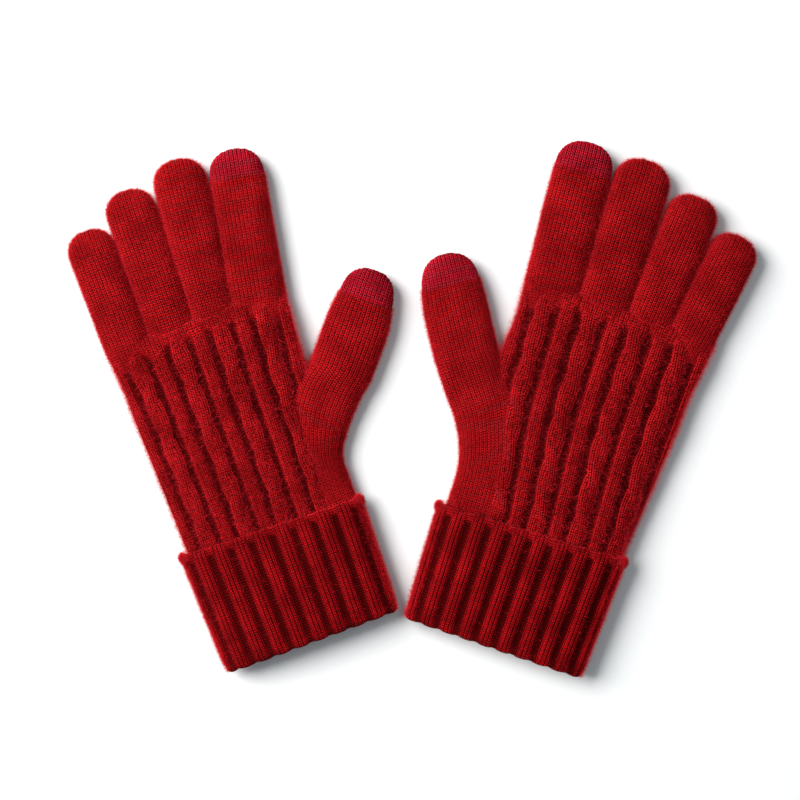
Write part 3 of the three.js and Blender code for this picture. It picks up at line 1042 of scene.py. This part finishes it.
def build_hand(glove, seed):
    """The tube round the palm, with the cable panel on its back."""
    knuckles = JOINTS[glove.name + "_middle_finger_fold"]["pos_m"]
    knuckles = glove.local(np.array([knuckles]))[0][1]
    end = knuckles - HAND_END
    distance = np.arange(WRIST - TUCK, end, COURSE / HAND_ROWS_PER_COURSE)
    at = np.linspace(64 * MM, knuckles - 9 * MM, 12)
    edges = np.array([glove.edge("hand", v) for v in at])
    outer = np.interp(distance, at, edges[:, 0])
    side = flowing(np.array(HAND_EDGE[glove.name]) * MM, 30)
    side = np.interp(distance, side[:, 1], side[:, 0])
    tuck = smooth(distance, WRIST - TUCK, WRIST + 2 * MM)
    close = smooth(distance, end - 4 * MM, end)
    waist = np.sin(PI * np.clip((distance - WAIST_FROM) / (knuckles - WAIST_FROM), 0, 1)) ** 2
    outer = outer + 1.2 * MM * (1 - tuck) + 2 * MM * close + WAIST * waist
    side = side - 2 * MM * close
    centre = np.column_stack([(outer + side) / 2, distance])
    half = (side - outer) / 2
    forward = np.broadcast_to([0.0, 1.0], centre.shape)
    fade = smooth(distance, knuckles - 26 * MM, knuckles - 11 * MM)
    drop = smooth(distance, knuckles - 12 * MM, end)
    top = HAND_TOP - 2.2 * MM * (1 - tuck) - 1.3 * MM * fade - 3.0 * MM * drop - 2.5 * MM * close
    low = HAND_LOW + 2.6 * MM * (1 - tuck) + 0.8 * MM * fade + 1.5 * MM * close
    stations = Stations(centre, forward, half, low, top)
    wales = wales_round(half.mean(), HAND_TOP, WALE)
    shares = shares_round(wales)
    u, v, z, arc = stations.rings(shares)
    zero = np.zeros_like(u)
    fluffy = smooth(distance, WRIST, WRIST + 2 * MM) * (1 - 0.8 * smooth(distance, end - 9 * MM, end))
    span = np.array(PANEL_SPAN[glove.name]) * MM
    first, last = (np.interp(v, span[:, 2], span[:, j]) for j in (0, 1))
    panel = PANEL_RIBS * (last - (centre[:, :1] + arc)) / (last - first)
    ragged = 1.3 * MM * np.sin(7.3 * panel) + 0.9 * MM * np.sin(17.1 * panel + 1.0)
    inside = 1 - smooth(v, knuckles - PANEL_TOP + ragged - 6 * MM,
                        knuckles - PANEL_TOP + ragged + 5 * MM)
    inside = inside * smooth(panel, -0.32, -0.24) * (1 - smooth(panel, 4.24, 4.32))
    inside = np.where(np.abs(shares) < TOP_SHARE, inside, 0)
    values = {"wale": zero + shares * wales, "course": zero + (distance / COURSE)[:, None],
              "panel": panel, "inside": inside, "soften": zero + (1 - close)[:, None],
              "fluffy": fluffy[:, None] * fluff_share(shares, HAND_TOP_FLUFF)}
    smooth_piece = mesh_object(glove, "smooth", u, v, z, values, wales,
                               [("root", 0), ("tip", len(distance) - 1)])
    piece = knitted(glove, smooth_piece, glove.node("hand"), "panel", "hand", STITCH_DEPTH,
                    CABLE_HEIGHT, HAND_UNEVENNESS)
    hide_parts(glove.node("hand"))
    for item in (piece, fluff(piece, seed)):
        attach(item, glove.body("hand"))


# ---------------------------------------------------------------- cuffs

CUFF_CLOTH = 2.2 * MM
HEM = 3 * MM
CUFF_INSET = 0.6 * MM  # the ribs bring the cuff out to its full width
CUFF_ROW = 0.45 * MM  # from one row of the mesh to the next
CUFF_EDGE = 8 * MM  # from the cuff's ends to where its width is measured
CUFF_LOW = 1.1 * MM
BRIM_SLANT = 3.2 * MM  # how much higher the brim is on the little finger's side
RIB_COURSE = 1.3 * MM
RIB_SHIFT = 0.9  # columns from the middle of the cuff to the start of a rib


def cuff_ring(glove, part, profile, low, high, inset, row_soften):
    """A flat sleeve swept from a closed profile of (height v, depth into the cloth) points, with
    its columns and rows, and row_soften how strongly each row is raised into ribs."""
    v = np.array([point[0] for point in profile])
    depth = np.array([point[1] for point in profile])
    measured = [CUFF_EDGE, WRIST - CUFF_EDGE]
    edges = np.array([glove.edge(part, at) for at in measured])
    left = np.interp(v, measured, edges[:, 0]) + inset
    right = np.interp(v, measured, edges[:, 1]) - inset
    centre = np.column_stack([(left + right) / 2, v])
    half = (right - left) / 2 - depth
    forward = np.broadcast_to([0.0, 1.0], centre.shape)
    stations = Stations(centre, forward, half, low + depth, high - depth)
    wales = wales_round(half.max(), high - low, RIB_WALE, RIB_REPEAT)
    shares = shares_round(wales)
    u, vv, z, arc = stations.rings(shares)
    outward = np.clip((right.max() - u) / (right.max() - left.min()), 0, 1)
    vv = vv + BRIM_SLANT * outward * smooth(v, WRIST / 3, WRIST)[:, None]
    zero = np.zeros_like(u)
    ribbed = 1 - smooth(v, WRIST - 6 * MM, WRIST - 1.2 * MM)
    brim = 1 + BRIM_FLUFF * smooth(v, WRIST - 3.5 * MM, WRIST - 1 * MM)
    values = {"wale": zero + shares * wales - RIB_SHIFT, "course": zero + (v / RIB_COURSE)[:, None],
              "panel": zero, "inside": zero + ribbed[:, None],
              "soften": zero + row_soften[:, None],
              "fluffy": ((depth < 0.4 * MM) * brim)[:, None] * fluff_share(shares, CUFF_TOP_FLUFF)}
    return u, vv, z, values, wales


def turned_up_profile():
    """Down the outside, round the fold, into the mouth, over the hem and back up inside."""
    outside = [(v, 0.0) for v in np.arange(WRIST - 1.2 * MM, 2.2 * MM, -CUFF_ROW)]
    fold_depth = CUFF_CLOTH + 2.3 * MM
    turn = np.linspace(0, PI, 14)
    fold = [(2.2 * MM - 2.2 * MM * math.sin(a), fold_depth / 2 * (1 - math.cos(a))) for a in turn]
    hem = [(v, fold_depth) for v in np.linspace(2.6 * MM, HEM - 0.1 * MM, 3)]
    back = [(HEM, fold_depth - 0.5 * MM), (HEM + 0.2 * MM, CUFF_CLOTH + 0.3 * MM)]
    inner = [(v, CUFF_CLOTH) for v in np.arange(HEM + 0.7 * MM, WRIST - 1.5 * MM, 2.5 * MM)]
    lip = np.linspace(PI, 0, 7)
    edge = [(WRIST - 1.2 * MM + 1.2 * MM * math.sin(a), CUFF_CLOTH / 2 * (1 - math.cos(a)))
            for a in lip][:-1]
    return outside + fold[1:] + hem + back + inner + edge


def build_turned_up_cuff(glove, seed):
    profile = turned_up_profile()
    depth = np.array([point[1] for point in profile])
    height = np.array([point[0] for point in profile])
    soften = np.where(depth < 0.2 * MM, 0.2 + 0.8 * smooth(height, 1 * MM, 8 * MM), 0.3)
    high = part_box(glove.node("turned_up_cuff"))[1].z
    u, v, z, values, wales = cuff_ring(glove, "turned_up_cuff", profile, CUFF_LOW, high, CUFF_INSET,
                                     soften)
    smooth_piece = mesh_object(glove, "smooth", u, v, z, values, wales, [], loops_closed=True)
    smooth_piece.data.flip_normals()  # its profile runs downwards on the outside
    piece = knitted(glove, smooth_piece, glove.node("turned_up_cuff"), "rib", "cuff",
                    STITCH_DEPTH, RIB_HEIGHT, UNEVENNESS)
    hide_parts(glove.node("turned_up_cuff"))
    for item in (piece, fluff(piece, seed, 1.2, 0.7)):
        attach(item, glove.body("cuff"))


def inner_cuff_profile():
    """Down the outside from the hand, round the end and back up the inside."""
    top = WRIST - 2 * MM
    foot = HEM + 0.5 * MM
    outside = [(v, 0.0) for v in np.arange(top, foot, -1.35 * MM)]
    end = [(foot, 0.4 * MM), (foot, 1.5 * MM)]
    inside = [(v, 1.9 * MM) for v in np.arange(foot + 0.5 * MM, top, 1.35 * MM)]
    return outside + end + inside + [(top + 0.3 * MM, 1.4 * MM), (top + 0.3 * MM, 0.5 * MM)]


def build_inner_cuff(glove):
    profile = inner_cuff_profile()
    low, high = (corner.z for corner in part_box(glove.node("inner_cuff")))
    soften = np.full(len(profile), 0.5)
    u, v, z, values, wales = cuff_ring(glove, "inner_cuff", profile, low, high, 0.3 * MM, soften)
    smooth_piece = mesh_object(glove, "smooth", u, v, z, values, wales, [], loops_closed=True)
    smooth_piece.data.flip_normals()  # its profile runs downwards on the outside
    piece = knitted(glove, smooth_piece, glove.node("inner_cuff"), "rib", "cuff",
                    STITCH_DEPTH, INNER_RIB_HEIGHT, INNER_UNEVENNESS)
    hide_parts(glove.node("inner_cuff"))
    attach(piece, glove.body("hand"))


# ---------------------------------------------------------------- gloves

for number, glove in enumerate((Glove("left"), Glove("right"))):
    build_hand(glove, 10 + number)
    build_turned_up_cuff(glove, 20 + number)
    build_inner_cuff(glove)
    for place, part in enumerate(FINGERS + ("thumb",)):
        build_digit(glove, part, 100 * (number + 1) + place)

# ---------------------------------------------------------------- floor, light and camera

VIEW_WIDTH = 400 * MM
CAMERA_HEIGHT = 1.25
VIEW_CENTRE = (-6.0 * MM, 4.4 * MM)
GLOVES_TOP = 10 * MM
FLOOR_HALF = 3.0
FLOOR_WHITE = (0.93, 0.935, 0.94, 1.0)
SKY_COLOUR = (0.8, 0.94, 1.0, 1.0)
SKY_STRENGTH = 0.2
WINDOW_COLOUR = (1.0, 0.985, 0.965)
FILL_COLOUR = (0.93, 0.97, 1.0)


def build_floor():
    half = FLOOR_HALF
    corners = [(-half, -half, 0), (half, -half, 0), (half, half, 0), (-half, half, 0)]
    mesh = bpy.data.meshes.new("floor")
    mesh.from_pydata(corners, [], [(0, 1, 2, 3)])
    floor = bpy.data.objects.new("floor", mesh)
    bpy.context.scene.collection.objects.link(floor)
    material = bpy.data.materials.new("white_paper")
    material.use_nodes = True
    shader = material.node_tree.nodes["Principled BSDF"]
    shader.inputs["Base Color"].default_value = FLOOR_WHITE
    shader.inputs["Roughness"].default_value = 0.9
    shader.inputs["Specular IOR Level"].default_value = 0.1
    mesh.materials.append(material)


def build_light(name, place, size, power, colour):
    """A round soft light, aimed at the middle of the table."""
    data = bpy.data.lights.new(name, "AREA")
    data.shape = "DISK"
    data.size = size
    data.energy = power
    data.color = colour
    light = bpy.data.objects.new(name, data)
    bpy.context.scene.collection.objects.link(light)
    light.location = place
    aim = -light.location
    light.rotation_euler = aim.to_track_quat("-Z", "Y").to_euler()


def build_camera():
    data = bpy.data.cameras.new("camera")
    data.sensor_width = 36.0
    data.lens = data.sensor_width * CAMERA_HEIGHT / VIEW_WIDTH
    camera = bpy.data.objects.new("camera", data)
    bpy.context.scene.collection.objects.link(camera)
    camera.location = (*VIEW_CENTRE, CAMERA_HEIGHT + GLOVES_TOP)
    bpy.context.scene.camera = camera


build_floor()
build_light("window", (-1.15, 0.56, 0.95), 1.5, 58, WINDOW_COLOUR)
build_light("fill", (0.4, 0.2, 1.6), 1.2, 3, FILL_COLOUR)
world = bpy.data.worlds.new("studio")
world.use_nodes = True
world.node_tree.nodes["Background"].inputs["Color"].default_value = SKY_COLOUR
world.node_tree.nodes["Background"].inputs["Strength"].default_value = SKY_STRENGTH
bpy.context.scene.world = world
bpy.context.scene.view_settings.view_transform = "Standard"
build_camera()
